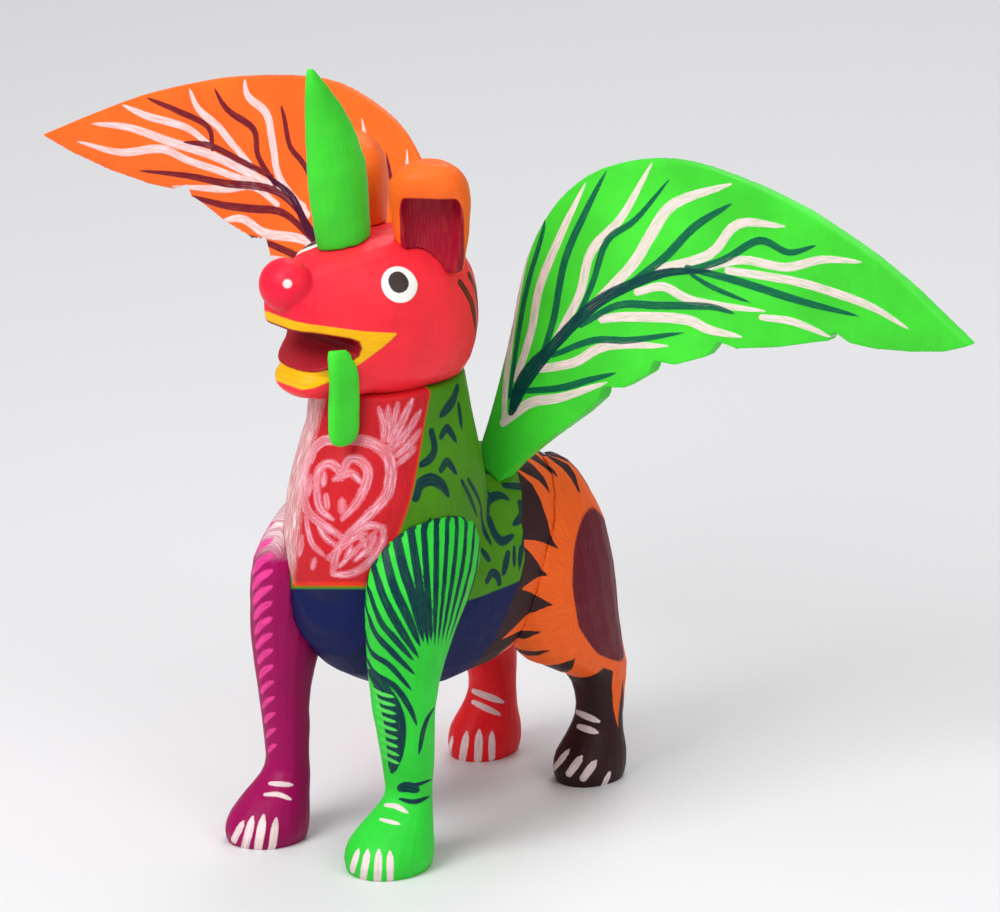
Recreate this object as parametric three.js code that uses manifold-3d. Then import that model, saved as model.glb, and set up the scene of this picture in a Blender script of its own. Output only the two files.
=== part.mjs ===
// A carved and painted wooden alebrije: a winged, horned four-legged beast with an open mouth.
// Millimetres, +Z up. The beast faces -Y and its left side is +X, so the wings span X.
// The body, the legs and the head are carved blocks joined with dowels and glue. Horn, ears, tongue
// and tail are small carvings on glued pegs. Each wing only slips into the back on its own peg, and
// pulls out along that peg for packing.
import * as THREE from 'three';
import { mergeVertices } from 'three/addons/utils/BufferGeometryUtils.js';
import Module from 'manifold-3d';

const wasm = await Module();
wasm.setup();

// ---- driving dimensions ----
const GAP = 0.3; // air between two carvings that touch
const NECK = new THREE.Vector3(0, -23, 0); // the upright axis that the head turns about
const NECK_TOP = 150.6; // flat seat of the head on the neck
const HEAD_TURN = THREE.MathUtils.degToRad(-13); // the head looks to the beast's right
const LEG_SIDES = 20; // facets round a leg
const BODY_SIDES = 32; // facets round the trunk, the neck and the head
const DOWEL_SIDES = 16;
const NECK_DOWEL = { radius: 5, from: 134, to: 163 };
const LEG_DOWEL = { radius: 3, outward: 5.5, inward: 12 };
const WING_PEG = { radius: 2.1, inside: 13, outside: 12 };
const WING_AXIS = new THREE.Vector3(0.45, 0.12, 0.88).normalize(); // pull-out direction, left wing
const WING_ROOT = new THREE.Vector3(13.6, 15.6, 111); // where the left peg crosses the back
const HORN_PEG = { radius: 2.6, from: 184, to: 210 };
const EAR = { x: 16, y: 4, turn: 42 }; // foot of the left ear in the head's frame, degrees
const EAR_PEG = { radius: 1.6, back: 3.5, from: 184, to: 202 }; // it stands in the ear's back wall
const TONGUE_PEG = { radius: 1.1, from: 7.5, to: 15.8 };
const TAIL_PEG = { radius: 1.8, from: 50, to: 68 };

// ---- paints, one material for each colour ----
const paint = (color) => new THREE.MeshStandardMaterial({ color, roughness: 0.55, metalness: 0 });
const RED = paint('#f53245');
const OLIVE = paint('#4b8c12');
const GREEN = paint('#3fdc32');
const MAGENTA = paint('#8f1368');
const ORANGE = paint('#ff6a22');
const UMBER = paint('#3a2320');
const WOOD = paint('#d8b98a');

// ---- solids: three.js geometry in and out of the boolean kernel ----
function solid(geometry) {
  const bare = geometry.index ? geometry.clone() : geometry;
  bare.deleteAttribute('normal');
  bare.deleteAttribute('uv');
  const merged = mergeVertices(bare, 1e-4);
  const vertProperties = new Float32Array(merged.attributes.position.array);
  const triVerts = new Uint32Array(merged.index.array);
  return new wasm.Manifold(new wasm.Mesh({ numProp: 3, vertProperties, triVerts }));
}

function meshOf(name, body, material) {
  const { vertProperties, triVerts } = body.getMesh();
  const geometry = new THREE.BufferGeometry();
  geometry.setAttribute('position', new THREE.BufferAttribute(vertProperties, 3));
  geometry.setIndex(new THREE.BufferAttribute(triVerts, 1));
  geometry.computeVertexNormals();
  const mesh = new THREE.Mesh(geometry, material);
  mesh.name = name;
  return mesh;
}

// Smooth values between the rows of a table, each row [a, b, c, ...], at t from 0 to 1.
function rowAt(rows, t) {
  const place = t * (rows.length - 1);
  const i = Math.min(Math.floor(place), rows.length - 2);
  const f = place - i;
  const before = rows[Math.max(i - 1, 0)];
  const after = rows[Math.min(i + 2, rows.length - 1)];
  return rows[i].map((value, k) => {
    const next = rows[i + 1][k];
    const slopeIn = (next - before[k]) / 2;
    const slopeOut = (after[k] - value) / 2;
    const hermite = (2 * value - 2 * next + slopeIn + slopeOut) * f ** 3;
    return hermite + (3 * next - 3 * value - 2 * slopeIn - slopeOut) * f ** 2 + slopeIn * f + value;
  });
}

// A closed carving lofted through elliptical sections. Each row of the table is
// [x, y, z, half size along u, half size along v]; u and v span every section.
function loft(rows, { u, v, sides = LEG_SIDES, steps = 2, square = 2, grow = 0 }) {
  const length = (rows.length - 1) * steps;
  const geometry = new THREE.CylinderGeometry(1, 1, 1, sides, length);
  const position = geometry.attributes.position;
  const point = new THREE.Vector3();
  for (let i = 0; i < position.count; i++) {
    point.fromBufferAttribute(position, i);
    const [x, y, z, halfU, halfV] = rowAt(rows, point.y + 0.5);
    const round = Math.hypot(point.x, point.z);
    const power = Math.abs(point.x) ** square + Math.abs(point.z) ** square;
    const stretch = round > 0.5 ? round / power ** (1 / square) : 0;
    const alongU = point.x * stretch * (Math.max(halfU, 0.3) + grow);
    const alongV = point.z * stretch * (Math.max(halfV, 0.3) + grow);
    point.set(x, y, z).addScaledVector(u, alongU).addScaledVector(v, alongV);
    position.setXYZ(i, point.x, point.y, point.z);
  }
  const body = solid(geometry);
  return body.volume() > 0 ? body : solid(flipped(geometry));
}

function flipped(geometry) {
  const index = geometry.index.array;
  for (let i = 0; i < index.length; i += 3) {
    [index[i], index[i + 1]] = [index[i + 1], index[i]];
  }
  return geometry;
}

const X = new THREE.Vector3(1, 0, 0);
const Y = new THREE.Vector3(0, 1, 0);
const Z = new THREE.Vector3(0, 0, 1);
const UPRIGHT = { u: X, v: Y }; // sections lie flat, the carving is built upwards
const LENGTHWISE = { u: X, v: Z }; // sections stand upright, the carving is built along Y

// A round rod between two points.
function rod(from, to, radius, sides = DOWEL_SIDES) {
  const along = to.clone().sub(from);
  const geometry = new THREE.CylinderGeometry(radius, radius, along.length(), sides);
  geometry.applyQuaternion(new THREE.Quaternion().setFromUnitVectors(Y, along.clone().normalize()));
  const middle = from.clone().add(to).multiplyScalar(0.5);
  geometry.translate(middle.x, middle.y, middle.z);
  return solid(geometry);
}

// A hole for a rod, wider by the gap and deeper by the gap at both ends.
function holeFor(from, to, radius) {
  const stretch = to.clone().sub(from).normalize().multiplyScalar(GAP);
  return rod(from.clone().sub(stretch), to.clone().add(stretch), radius + GAP);
}

function ball(x, y, z, rx, ry, rz, sides = 20) {
  const geometry = new THREE.SphereGeometry(1, sides, Math.round(sides * 0.6));
  geometry.scale(rx, ry, rz);
  geometry.translate(x, y, z);
  return solid(geometry);
}

// The same solid on the other side of the beast.
const mirrored = (body) => body.mirror([1, 0, 0]);
const acrossX = (p) => new THREE.Vector3(-p.x, p.y, p.z);

// ---- trunk and neck, one carving ----
function trunk(grow = 0) {
  const barrel = loft(
    [
      [0, -57, 88, 11, 13],
      [0, -53, 86.5, 18, 21],
      [0, -44, 84, 23, 27.5],
      [0, -29, 81, 25.5, 32],
      [0, -10, 79, 27.5, 34],
      [0, 10, 79.5, 28, 34],
      [0, 28, 81, 27, 33],
      [0, 44, 83, 24, 27.5],
      [0, 57, 84, 17, 18],
      [0, 65, 84, 8, 9],
    ],
    { ...LENGTHWISE, sides: BODY_SIDES, steps: 1, square: 2.2, grow },
  );
  const neck = loft(
    [
      [0, -22, 78, 23, 32.5],
      [0, -24, 90, 25.6, 36],
      [0, -24.6, 102, 26.6, 37],
      [0, -24.6, 115, 25.8, 35.6],
      [0, -24.2, 127, 23.6, 32.6],
      [0, -23.2, 138, 22.2, 28.4],
      [0, -24, NECK_TOP + grow, 21.4, 26.3],
    ],
    { ...UPRIGHT, sides: BODY_SIDES, steps: 1, square: 2.3, grow },
  );
  return barrel.add(neck);
}

// ---- legs ----
const FRONT_LEFT_LEG = [
  [24.5, -55.5, 0, 11.6, 14.2],
  [24.5, -55.5, 4, 12.6, 15.6],
  [24.3, -54, 9, 12, 14.6],
  [24.2, -50.5, 14, 10, 12],
  [24, -46, 19, 7.6, 8.4],
  [24, -44.5, 24, 7, 6.9],
  [24, -45.5, 36, 8.4, 8],
  [23.8, -47, 51, 9.6, 9.6],
  [23.5, -45.5, 66, 11.5, 12.5],
  [23, -40.5, 80, 13, 18],
  [22, -34.5, 92, 12.5, 24],
  [20, -31, 104, 10, 21],
  [18, -30, 113, 6, 12],
];
const FRONT_RIGHT_LEG = [
  [-24.3, -55, 0, 11.2, 13],
  [-24.3, -55, 4, 12, 14.2],
  [-24.2, -53.4, 9, 11.2, 13.4],
  [-24, -50.2, 14, 9.2, 11.2],
  [-24, -46, 19, 7.2, 8.2],
  [-23.8, -45, 25, 6.6, 6.4],
  [-23.6, -46, 36, 7.2, 6.8],
  [-23.5, -47, 48, 8.2, 7.6],
  [-23.3, -45.5, 64, 10.6, 11.6],
  [-23, -40.5, 80, 12.6, 17.6],
  [-22, -34.5, 92, 12.4, 24],
  [-20, -31, 104, 10, 21],
  [-18, -30, 113, 6, 12],
];
const REAR_LEFT_LEG = [
  [21, 54.5, 0, 9.4, 12],
  [21, 54.5, 4, 10.2, 13],
  [21, 55.3, 9, 9.8, 12.2],
  [21, 57.2, 14, 8.2, 9.6],
  [21.2, 59, 20, 7.2, 7.4],
  [21.5, 59, 28, 7.4, 8],
  [21.8, 56, 37, 8.6, 11.6],
  [21, 45.6, 46, 11.2, 19.6],
  [20, 39.4, 58, 12.8, 24.8],
  [18.8, 37.4, 72, 13.2, 25.8],
  [17.4, 37.4, 86, 12, 23.4],
  [15, 39, 98, 9.2, 17],
  [12.8, 42, 105, 5, 10],
  [11, 43, 108.4, 1.8, 4],
];

const toRight = (rows) => rows.map(([x, ...rest]) => [-x, ...rest]);

function legCarving(rows) {
  return loft(rows, { ...UPRIGHT, steps: 2, square: 2.15 }).subtract(trunk(GAP));
}

// Dowels that pin the legs to the trunk lie along X at the middle of each leg's upper pad.
const LEG_DOWELS = {
  front: { x: 24.5, y: -34, z: 86 },
  rear: { x: 22, y: 38, z: 78 },
};

function legDowelEnds({ x, y, z }, side) {
  const inner = new THREE.Vector3(side * (x - LEG_DOWEL.inward), y, z);
  const outer = new THREE.Vector3(side * (x + LEG_DOWEL.outward), y, z);
  return [inner, outer];
}

// ---- head, in its own frame: x to the beast's left, -y forward, z up ----
function skull(grow = 0) {
  const cranium = loft(
    [
      [0, 27.4, 171, 8, 10],
      [0, 25, 170, 13.6, 17.6],
      [0, 18.5, 170.2, 20, 24],
      [0, 9.5, 170.4, 23.8, 27],
      [0, -1, 170.8, 25, 27.4],
      [0, -12, 171.4, 24.2, 27],
      [0, -22, 172.8, 20.6, 24.8],
      [0, -31, 173.4, 15.8, 22],
      [0, -37, 174, 12.8, 18.6],
      [0, -41.4, 178.2, 10.8, 12],
      [0, -44.6, 180.4, 7.4, 6.4],
    ],
    { ...LENGTHWISE, sides: BODY_SIDES, steps: 2, square: 2.3, grow },
  );
  const nose = ball(0, -42, 188.2, 8.9 + grow, 8.2 + grow, 8.6 + grow);
  const jaw = loft(
    [
      [0, -14, 157, 18, 9],
      [0, -26, 156.5, 15.5, 7.6],
      [0, -34, 156, 12.5, 6],
      [0, -38.6, 155.6, 9.6, 4.6],
      [0, -40.8, 155.6, 6.5, 2.6],
    ],
    { ...LENGTHWISE, sides: BODY_SIDES, steps: 1, square: 2.3, grow },
  );
  return cranium.add(nose).add(jaw);
}

// The saw-cut mouth: a wedge that opens forward, right through the muzzle.
function mouthCut() {
  const wedge = new THREE.Shape();
  wedge.moveTo(26.6, 168.4);
  wedge.quadraticCurveTo(27, 170.8, 29.5, 171.6);
  wedge.lineTo(40, 174.4);
  wedge.lineTo(60, 177);
  wedge.lineTo(60, 155);
  wedge.lineTo(42, 159.6);
  wedge.lineTo(29, 164.6);
  wedge.quadraticCurveTo(26.6, 166, 26.6, 168.4);
  const geometry = new THREE.ExtrudeGeometry(wedge, { depth: 80, bevelEnabled: false, curveSegments: 4 });
  const toHead = new THREE.Matrix4().makeBasis(new THREE.Vector3(0, -1, 0), Z, new THREE.Vector3(-1, 0, 0));
  geometry.applyMatrix4(toHead);
  geometry.translate(40, 0, 0);
  return solid(geometry);
}

// Everything below the seat on the neck is trimmed flat.
function seatCut() {
  const geometry = new THREE.BoxGeometry(90, 59, 40);
  geometry.translate(0, 0.5, NECK_TOP + GAP - 20);
  return solid(geometry);
}

const along = (x, y, from, to) => [new THREE.Vector3(x, y, from), new THREE.Vector3(x, y, to)];
const HEAD_DOWEL_ENDS = along(0, 0, NECK_DOWEL.from, NECK_DOWEL.to);
const HORN_PEG_ENDS = along(0, -19, HORN_PEG.from, HORN_PEG.to);
const earBack = new THREE.Vector3(0, EAR_PEG.back, 0).applyAxisAngle(Z, THREE.MathUtils.degToRad(EAR.turn));
const EAR_PEG_ENDS = along(EAR.x + earBack.x, EAR.y + earBack.y, EAR_PEG.from, EAR_PEG.to);
const TONGUE_Z = 156.5;
const TONGUE_PEG_ENDS = [
  new THREE.Vector3(TONGUE_PEG.from, -31, TONGUE_Z),
  new THREE.Vector3(TONGUE_PEG.to, -31, TONGUE_Z),
];

function head() {
  return skull()
    .subtract(mouthCut())
    .subtract(seatCut())
    .subtract(holeFor(...HEAD_DOWEL_ENDS, NECK_DOWEL.radius))
    .subtract(holeFor(...HORN_PEG_ENDS, HORN_PEG.radius))
    .subtract(holeFor(...EAR_PEG_ENDS, EAR_PEG.radius))
    .subtract(holeFor(...EAR_PEG_ENDS.map(acrossX), EAR_PEG.radius))
    .subtract(holeFor(...TONGUE_PEG_ENDS, TONGUE_PEG.radius));
}

// One upright horn with a straight front edge and a knife-cut tip.
function horn() {
  const blade = loft(
    [
      [0, -18, 188, 6, 9.8],
      [0, -18.3, 197, 6.2, 10],
      [0, -20, 210, 6.5, 11],
      [0, -21.6, 224, 6.3, 11],
      [0, -24.9, 238, 5, 8.4],
      [0, -28.2, 247, 3.4, 5.4],
      [0, -30.5, 253, 2, 3.1],
      [0, -32, 257, 0.9, 0.9],
    ],
    { ...UPRIGHT, steps: 2, square: 1.8 },
  );
  return blade.subtract(skull(GAP)).subtract(holeFor(...HORN_PEG_ENDS, HORN_PEG.radius));
}

// The left ear: an upright cup that opens forward and outward, its tip folded over the opening.
function leftEar() {
  const shell = loft(
    [
      [0, 0, 188, 10.2, 5.4],
      [0, 0, 197, 11.6, 6.4],
      [0, -0.4, 205, 12.4, 7.2],
      [-0.3, -1.6, 212, 13, 8.4],
      [-0.4, -3, 217.5, 12.2, 8.8],
      [0, -4, 222, 9, 7],
      [0.4, -4.2, 224.5, 4.4, 3.6],
    ],
    { ...UPRIGHT, steps: 2, square: 2.3 },
  );
  const cup = loft(
    [
      [1, -10, 180, 8, 8],
      [1, -9.6, 192, 8.8, 8.6],
      [1, -9.2, 203, 9.8, 9.4],
      [0.9, -9.8, 209, 9.7, 10],
      [0.8, -10.4, 212.5, 9.5, 9.2],
      [0.8, -11, 214, 8.4, 7],
    ],
    { ...UPRIGHT, steps: 2, square: 2.4 },
  );
  const placed = shell.subtract(cup).rotate([0, 0, EAR.turn]).translate([EAR.x, EAR.y, 0]);
  return placed.subtract(skull(GAP)).subtract(holeFor(...EAR_PEG_ENDS, EAR_PEG.radius));
}

// A flat tongue that lolls out over the left lip and hangs below the jaw.
function tongue() {
  const strip = loft(
    [
      [14.8, -31, 136.8, 1, 2],
      [14.9, -31, 138.4, 1.7, 4.8],
      [15, -31, 143, 2.1, 5.8],
      [15.2, -31, 152, 2.2, 5.6],
      [15.2, -31, 160, 2.2, 5.5],
      [14.8, -31, 166.4, 2, 5.8],
      [14.4, -31, 168.6, 1.7, 5.2],
    ],
    { ...UPRIGHT, steps: 2, square: 3 },
  );
  return strip.subtract(skull(GAP)).subtract(holeFor(...TONGUE_PEG_ENDS, TONGUE_PEG.radius));
}

// ---- tail, hanging behind the rump and curling to the right ----
const TAIL_PEG_ENDS = [new THREE.Vector3(-4, TAIL_PEG.from, 88), new THREE.Vector3(-4, TAIL_PEG.to, 88)];
function tail() {
  const curl = loft(
    [
      [-4, 63, 93.5, 3.4, 3],
      [-4.4, 65, 90, 5, 6.4],
      [-6.5, 70, 84, 5, 6.2],
      [-10, 76, 75, 4.6, 5],
      [-13.6, 80, 65, 4.2, 4.2],
      [-16, 82, 56, 3.2, 3.2],
      [-17, 83, 49, 1.4, 1.4],
    ],
    { ...UPRIGHT, steps: 2 },
  );
  return curl.subtract(trunk(GAP)).subtract(holeFor(...TAIL_PEG_ENDS, TAIL_PEG.radius));
}

// ---- wings ----
// Sections of the left wing from the root to the tip: leading edge x, z; trailing edge x, z; y;
// half thickness. The trailing line runs past the notched outline, which is cut afterwards.
const WING_SECTIONS = [
  [6, 112, 16, 97, 14.5, 3.6],
  [10, 134, 34, 112, 18, 3.9],
  [14, 158, 56, 126, 21.5, 3.8],
  [17, 180, 78, 142, 25.5, 3.6],
  [24, 199, 98, 152, 30.5, 3.4],
  [46, 217, 116, 156, 36, 3.2],
  [80, 222, 132, 158, 40.5, 3],
  [112, 216, 146, 161, 41.5, 2.8],
  [142, 206, 160, 165, 40.5, 2.5],
  [168, 195, 176, 172, 38, 2.1],
  [190, 184, 192, 178, 36, 1.5],
];
const WING_LEADING = [
  [8, 119], [12.7, 140], [15.5, 156], [16.4, 168], [18.4, 180], [22.8, 192], [29.5, 202.5],
  [41, 211.5], [60, 217.4], [79, 217.6], [109, 211.8], [129.5, 205.4], [148.4, 198.2], [164.6, 190.2],
  [175.4, 184.4], [183.5, 180],
];
const WING_TRAILING = [
  [172, 175.4], [158, 172], [144, 170.2], [134, 170.2], [128, 172.8], [126, 169.4], [110, 165.4],
  [95.7, 163], [89.6, 164.4], [86.3, 159.4], [76, 155.5], [68.6, 155.4], [67.4, 151.2],
  [59, 145.4], [51.4, 144.6], [50.4, 140.2], [44.5, 134.2], [31.7, 123.3], [21.8, 114.2], [14, 105.5],
];

function wingBlank() {
  const geometry = new THREE.CylinderGeometry(1, 1, 1, 24, (WING_SECTIONS.length - 1) * 2);
  const position = geometry.attributes.position;
  for (let i = 0; i < position.count; i++) {
    const [leadX, leadZ, trailX, trailZ, y, half] = rowAt(WING_SECTIONS, position.getY(i) + 0.5);
    const across = (position.getX(i) + 1) / 2;
    const x = THREE.MathUtils.lerp(trailX, leadX, across);
    const z = THREE.MathUtils.lerp(trailZ, leadZ, across);
    position.setXYZ(i, x, y + position.getZ(i) * half, z);
  }
  const body = solid(geometry);
  return body.volume() > 0 ? body : solid(flipped(geometry));
}

function wingOutline() {
  const leading = new THREE.SplineCurve(WING_LEADING.map((at) => new THREE.Vector2(...at)));
  const trailing = WING_TRAILING.map((at) => new THREE.Vector2(...at));
  const shape = new THREE.Shape([...leading.getPoints(45), ...trailing]);
  const geometry = new THREE.ExtrudeGeometry(shape, { depth: 90, bevelEnabled: false });
  geometry.rotateX(Math.PI / 2);
  geometry.translate(0, 80, 0);
  return solid(geometry);
}

function wingPegEnds() {
  const inner = WING_ROOT.clone().addScaledVector(WING_AXIS, -WING_PEG.inside);
  const outer = WING_ROOT.clone().addScaledVector(WING_AXIS, WING_PEG.outside);
  return [inner, outer];
}

function leftWing() {
  return wingBlank()
    .intersect(wingOutline())
    .subtract(trunk(GAP))
    .subtract(holeFor(...wingPegEnds(), WING_PEG.radius));
}

// ---- trunk with every dowel hole ----
function torso() {
  const pegs = wingPegEnds();
  let body = trunk()
    .subtract(holeFor(...HEAD_DOWEL_ENDS.map((p) => p.clone().add(NECK)), NECK_DOWEL.radius))
    .subtract(holeFor(...TAIL_PEG_ENDS, TAIL_PEG.radius))
    .subtract(holeFor(...pegs, WING_PEG.radius))
    .subtract(holeFor(...pegs.map(acrossX), WING_PEG.radius));
  for (const place of Object.values(LEG_DOWELS)) {
    for (const side of [1, -1]) {
      body = body.subtract(holeFor(...legDowelEnds(place, side), LEG_DOWEL.radius));
    }
  }
  return body;
}

// ---- assembly ----
const beast = new THREE.Group();
beast.add(meshOf('torso', torso(), OLIVE));

const LEGS = [
  { name: 'front_left_leg', rows: FRONT_LEFT_LEG, place: LEG_DOWELS.front, side: 1, material: GREEN },
  { name: 'front_right_leg', rows: FRONT_RIGHT_LEG, place: LEG_DOWELS.front, side: -1, material: MAGENTA },
  { name: 'rear_left_leg', rows: REAR_LEFT_LEG, place: LEG_DOWELS.rear, side: 1, material: UMBER },
  { name: 'rear_right_leg', rows: toRight(REAR_LEFT_LEG), place: LEG_DOWELS.rear, side: -1, material: RED },
];
for (const { name, rows, place, side, material } of LEGS) {
  const ends = legDowelEnds(place, side);
  beast.add(meshOf(name, legCarving(rows).subtract(holeFor(...ends, LEG_DOWEL.radius)), material));
  beast.add(meshOf(`${name}_dowel`, rod(...ends, LEG_DOWEL.radius), WOOD));
}

const headGroup = new THREE.Group();
headGroup.position.copy(NECK);
headGroup.rotation.z = HEAD_TURN;
headGroup.add(
  meshOf('head', head(), RED),
  meshOf('neck_dowel', rod(...HEAD_DOWEL_ENDS, NECK_DOWEL.radius), WOOD),
  meshOf('horn', horn(), GREEN),
  meshOf('horn_peg', rod(...HORN_PEG_ENDS, HORN_PEG.radius), WOOD),
  meshOf('left_ear', leftEar(), ORANGE),
  meshOf('left_ear_peg', rod(...EAR_PEG_ENDS, EAR_PEG.radius), WOOD),
  meshOf('right_ear', mirrored(leftEar()), ORANGE),
  meshOf('right_ear_peg', rod(...EAR_PEG_ENDS.map(acrossX), EAR_PEG.radius), WOOD),
  meshOf('tongue', tongue(), GREEN),
  meshOf('tongue_peg', rod(...TONGUE_PEG_ENDS, TONGUE_PEG.radius), WOOD),
);
beast.add(headGroup);

beast.add(
  meshOf('tail', tail(), OLIVE),
  meshOf('tail_peg', rod(...TAIL_PEG_ENDS, TAIL_PEG.radius), WOOD),
  meshOf('left_wing', leftWing(), GREEN),
  meshOf('left_wing_peg', rod(...wingPegEnds(), WING_PEG.radius), WOOD),
  meshOf('right_wing', mirrored(leftWing()), ORANGE),
  meshOf('right_wing_peg', rod(...wingPegEnds().map(acrossX), WING_PEG.radius), WOOD),
);

// The origin is the middle of the footprint of the whole figure, on the ground.
const figure = new THREE.Group();
figure.add(beast);
const box = new THREE.Box3().setFromObject(figure, true);
const middle = box.getCenter(new THREE.Vector3());
beast.position.set(-middle.x, -middle.y, -box.min.z);

export default figure;
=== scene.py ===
"""A hand-carved, hand-painted wooden alebrije: the looks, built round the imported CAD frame.

Every carving is a fine smooth copy of its CAD solid. The painted patterns are lists of brush strokes
in millimetres. For each layer of paint, every vertex holds how far it is outside the nearest stroke,
and the materials turn those distances into crisp painted edges.
"""
import math

import bpy
import numpy as np
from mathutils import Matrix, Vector
from mathutils.bvhtree import BVHTree


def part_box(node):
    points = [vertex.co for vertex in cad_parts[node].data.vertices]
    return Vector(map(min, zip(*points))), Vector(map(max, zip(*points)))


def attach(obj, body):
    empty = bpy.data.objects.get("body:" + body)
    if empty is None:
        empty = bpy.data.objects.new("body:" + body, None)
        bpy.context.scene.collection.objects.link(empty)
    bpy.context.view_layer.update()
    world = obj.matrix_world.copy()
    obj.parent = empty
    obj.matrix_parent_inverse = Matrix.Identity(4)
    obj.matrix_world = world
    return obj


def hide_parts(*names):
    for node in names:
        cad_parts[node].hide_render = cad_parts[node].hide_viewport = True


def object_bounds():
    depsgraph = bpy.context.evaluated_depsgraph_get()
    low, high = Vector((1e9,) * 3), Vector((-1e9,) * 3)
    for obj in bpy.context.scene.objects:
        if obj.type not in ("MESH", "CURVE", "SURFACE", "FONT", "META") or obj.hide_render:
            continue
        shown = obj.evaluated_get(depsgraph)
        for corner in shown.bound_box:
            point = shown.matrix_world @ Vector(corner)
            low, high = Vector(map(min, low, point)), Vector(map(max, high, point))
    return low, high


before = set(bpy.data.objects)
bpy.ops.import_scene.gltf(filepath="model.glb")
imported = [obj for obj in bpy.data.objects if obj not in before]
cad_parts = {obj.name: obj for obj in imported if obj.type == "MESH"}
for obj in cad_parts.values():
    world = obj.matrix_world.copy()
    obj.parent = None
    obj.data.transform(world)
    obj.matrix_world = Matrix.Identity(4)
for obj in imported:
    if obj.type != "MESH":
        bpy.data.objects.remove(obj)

cad_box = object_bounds()

# ---- frame and camera ----
MM = 0.001
TORSO_FRONT_Y = -61.6  # the front of the trunk in the carver's own millimetres, origin between the paws
SHIFT_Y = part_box("torso")[0].y / MM - TORSO_FRONT_Y
SHIFT = np.array([0, SHIFT_Y, 0])
NECK = np.array([0, -23, 0])
HEAD_TURN = math.radians(-13)
VIEW = (37, 18)  # azimuth and elevation of the main view, degrees
VIEW_AIM = (0, 35, 108)  # mm, the middle of the picture
VIEW_DISTANCE = 9  # metres
VIEW_END = 30  # metres, well past the figure
VIEW_LENS = 1023  # mm, on a sensor of VIEW_SENSOR
VIEW_SENSOR = 36  # mm
LIGHT_AIM = (0, 20, 100)  # mm, where the lamps point
FAR = 99.0  # mm, the distance of a vertex that no stroke reaches
OUTSIDE = 400  # mm, further out than any part of the figure
PAINT_EDGE = 0.5  # mm, the slope at the edge of a raised coat of paint


def view_axes(azimuth, elevation):
    """Right, up and outward unit vectors for a look from that side. Azimuth 0 looks along +Y."""
    a = math.radians(azimuth)
    e = math.radians(elevation)
    right = np.array([math.cos(a), math.sin(a), 0])
    out = np.array([math.sin(a) * math.cos(e), -math.cos(a) * math.cos(e), math.sin(e)])
    return right, np.cross(out, right), out


def metres(point):
    """The carver's millimetres to a point of the shared frame."""
    return Vector((np.asarray(point, float) + SHIFT) * MM)


# ---- colours, as linear red, green and blue ----
def srgb(red, green, blue):
    linear = []
    for value in (red, green, blue):
        c = value / 255
        linear.append(c / 12.92 if c <= 0.04045 else ((c + 0.055) / 1.055) ** 2.4)
    return (*linear, 1)


GREEN = srgb(66, 214, 52)
LEG_GREEN = srgb(48, 208, 58)
ORANGE = srgb(255, 108, 34)
SUN_ORANGE = srgb(255, 100, 30)
RED = srgb(255, 48, 62)
SNOUT_RED = srgb(236, 30, 60)
LEG_RED = srgb(242, 30, 38)
CHEST_RED = srgb(200, 28, 38)
RIM_RED = srgb(236, 52, 24)
YELLOW = srgb(252, 186, 8)
# the mouth's dark red, partly its own colour and partly painted shade inside the mouth
SHADED_MOUTH_RED = srgb(140, 0, 20)
# painted light: the lighter red given to the mouth's upward-facing floor
LIT_MOUTH_FLOOR_RED = srgb(180, 36, 48)
WINE = srgb(150, 4, 44)
SUN_WINE = srgb(96, 6, 34)
PINK_WHITE = srgb(238, 214, 214)
PINK = srgb(240, 170, 186)
HOT_PINK = srgb(236, 62, 150)
WHITE = srgb(248, 244, 238)
TEAL = srgb(0, 60, 62)
DEEP_TEAL = srgb(0, 48, 58)
OLIVE = srgb(74, 138, 12)
NAVY = srgb(2, 18, 74)
MAGENTA = srgb(158, 0, 86)
UMBER = srgb(52, 26, 28)
PUPIL = srgb(66, 54, 52)
BRANCH_TEAL = srgb(0, 92, 66)
BRANCH_WINE = srgb(110, 16, 36)
VEIN_WINE = srgb(72, 6, 44)
BARE_WOOD = srgb(214, 180, 132)
MANE_BROWN = srgb(62, 30, 20)
NOSTRIL_PINK = srgb(250, 214, 214)
RIB_GREEN = srgb(84, 214, 84)
FLOOR_GREYS = (srgb(224, 224, 226), srgb(228, 228, 229))
STUDIO_GREY = srgb(236, 237, 240)


# ---- mesh work ----
def carving(node, voxel, swell=0.12, smooth=6, thicken=0.0):
    """A fine smooth copy of a CAD solid. Lengths are in millimetres. It is thickened while it is
    remeshed, so that feather edges keep a clean line, and thinned again to the CAD size plus swell."""
    piece = bpy.data.objects.new(node + "_carving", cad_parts[node].data.copy())
    bpy.context.scene.collection.objects.link(piece)
    weld = piece.modifiers.new("weld", "WELD")
    weld.merge_threshold = 0.02 * MM
    if thicken:
        fatten = piece.modifiers.new("fatten", "DISPLACE")
        fatten.mid_level = 0
        fatten.strength = thicken * MM
    remesh = piece.modifiers.new("remesh", "REMESH")
    remesh.mode = "VOXEL"
    remesh.voxel_size = voxel * MM
    relax = piece.modifiers.new("relax", "SMOOTH")
    relax.iterations = smooth
    relax.factor = 0.5
    graph = bpy.context.evaluated_depsgraph_get()
    mesh = bpy.data.meshes.new_from_object(piece.evaluated_get(graph))
    piece.modifiers.clear()
    piece.data = mesh
    mesh.materials.clear()
    mesh.polygons.foreach_set("use_smooth", np.ones(len(mesh.polygons), bool))
    move_along_normals(piece, np.full(len(mesh.vertices), swell - thicken))
    return piece


def coordinates(piece):
    """Vertex positions in the carver's millimetres."""
    flat = np.zeros(len(piece.data.vertices) * 3)
    piece.data.vertices.foreach_get("co", flat)
    return flat.reshape(-1, 3) / MM - SHIFT


def normals(piece):
    flat = np.zeros(len(piece.data.vertices) * 3)
    piece.data.vertex_normals.foreach_get("vector", flat)
    return flat.reshape(-1, 3)


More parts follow.
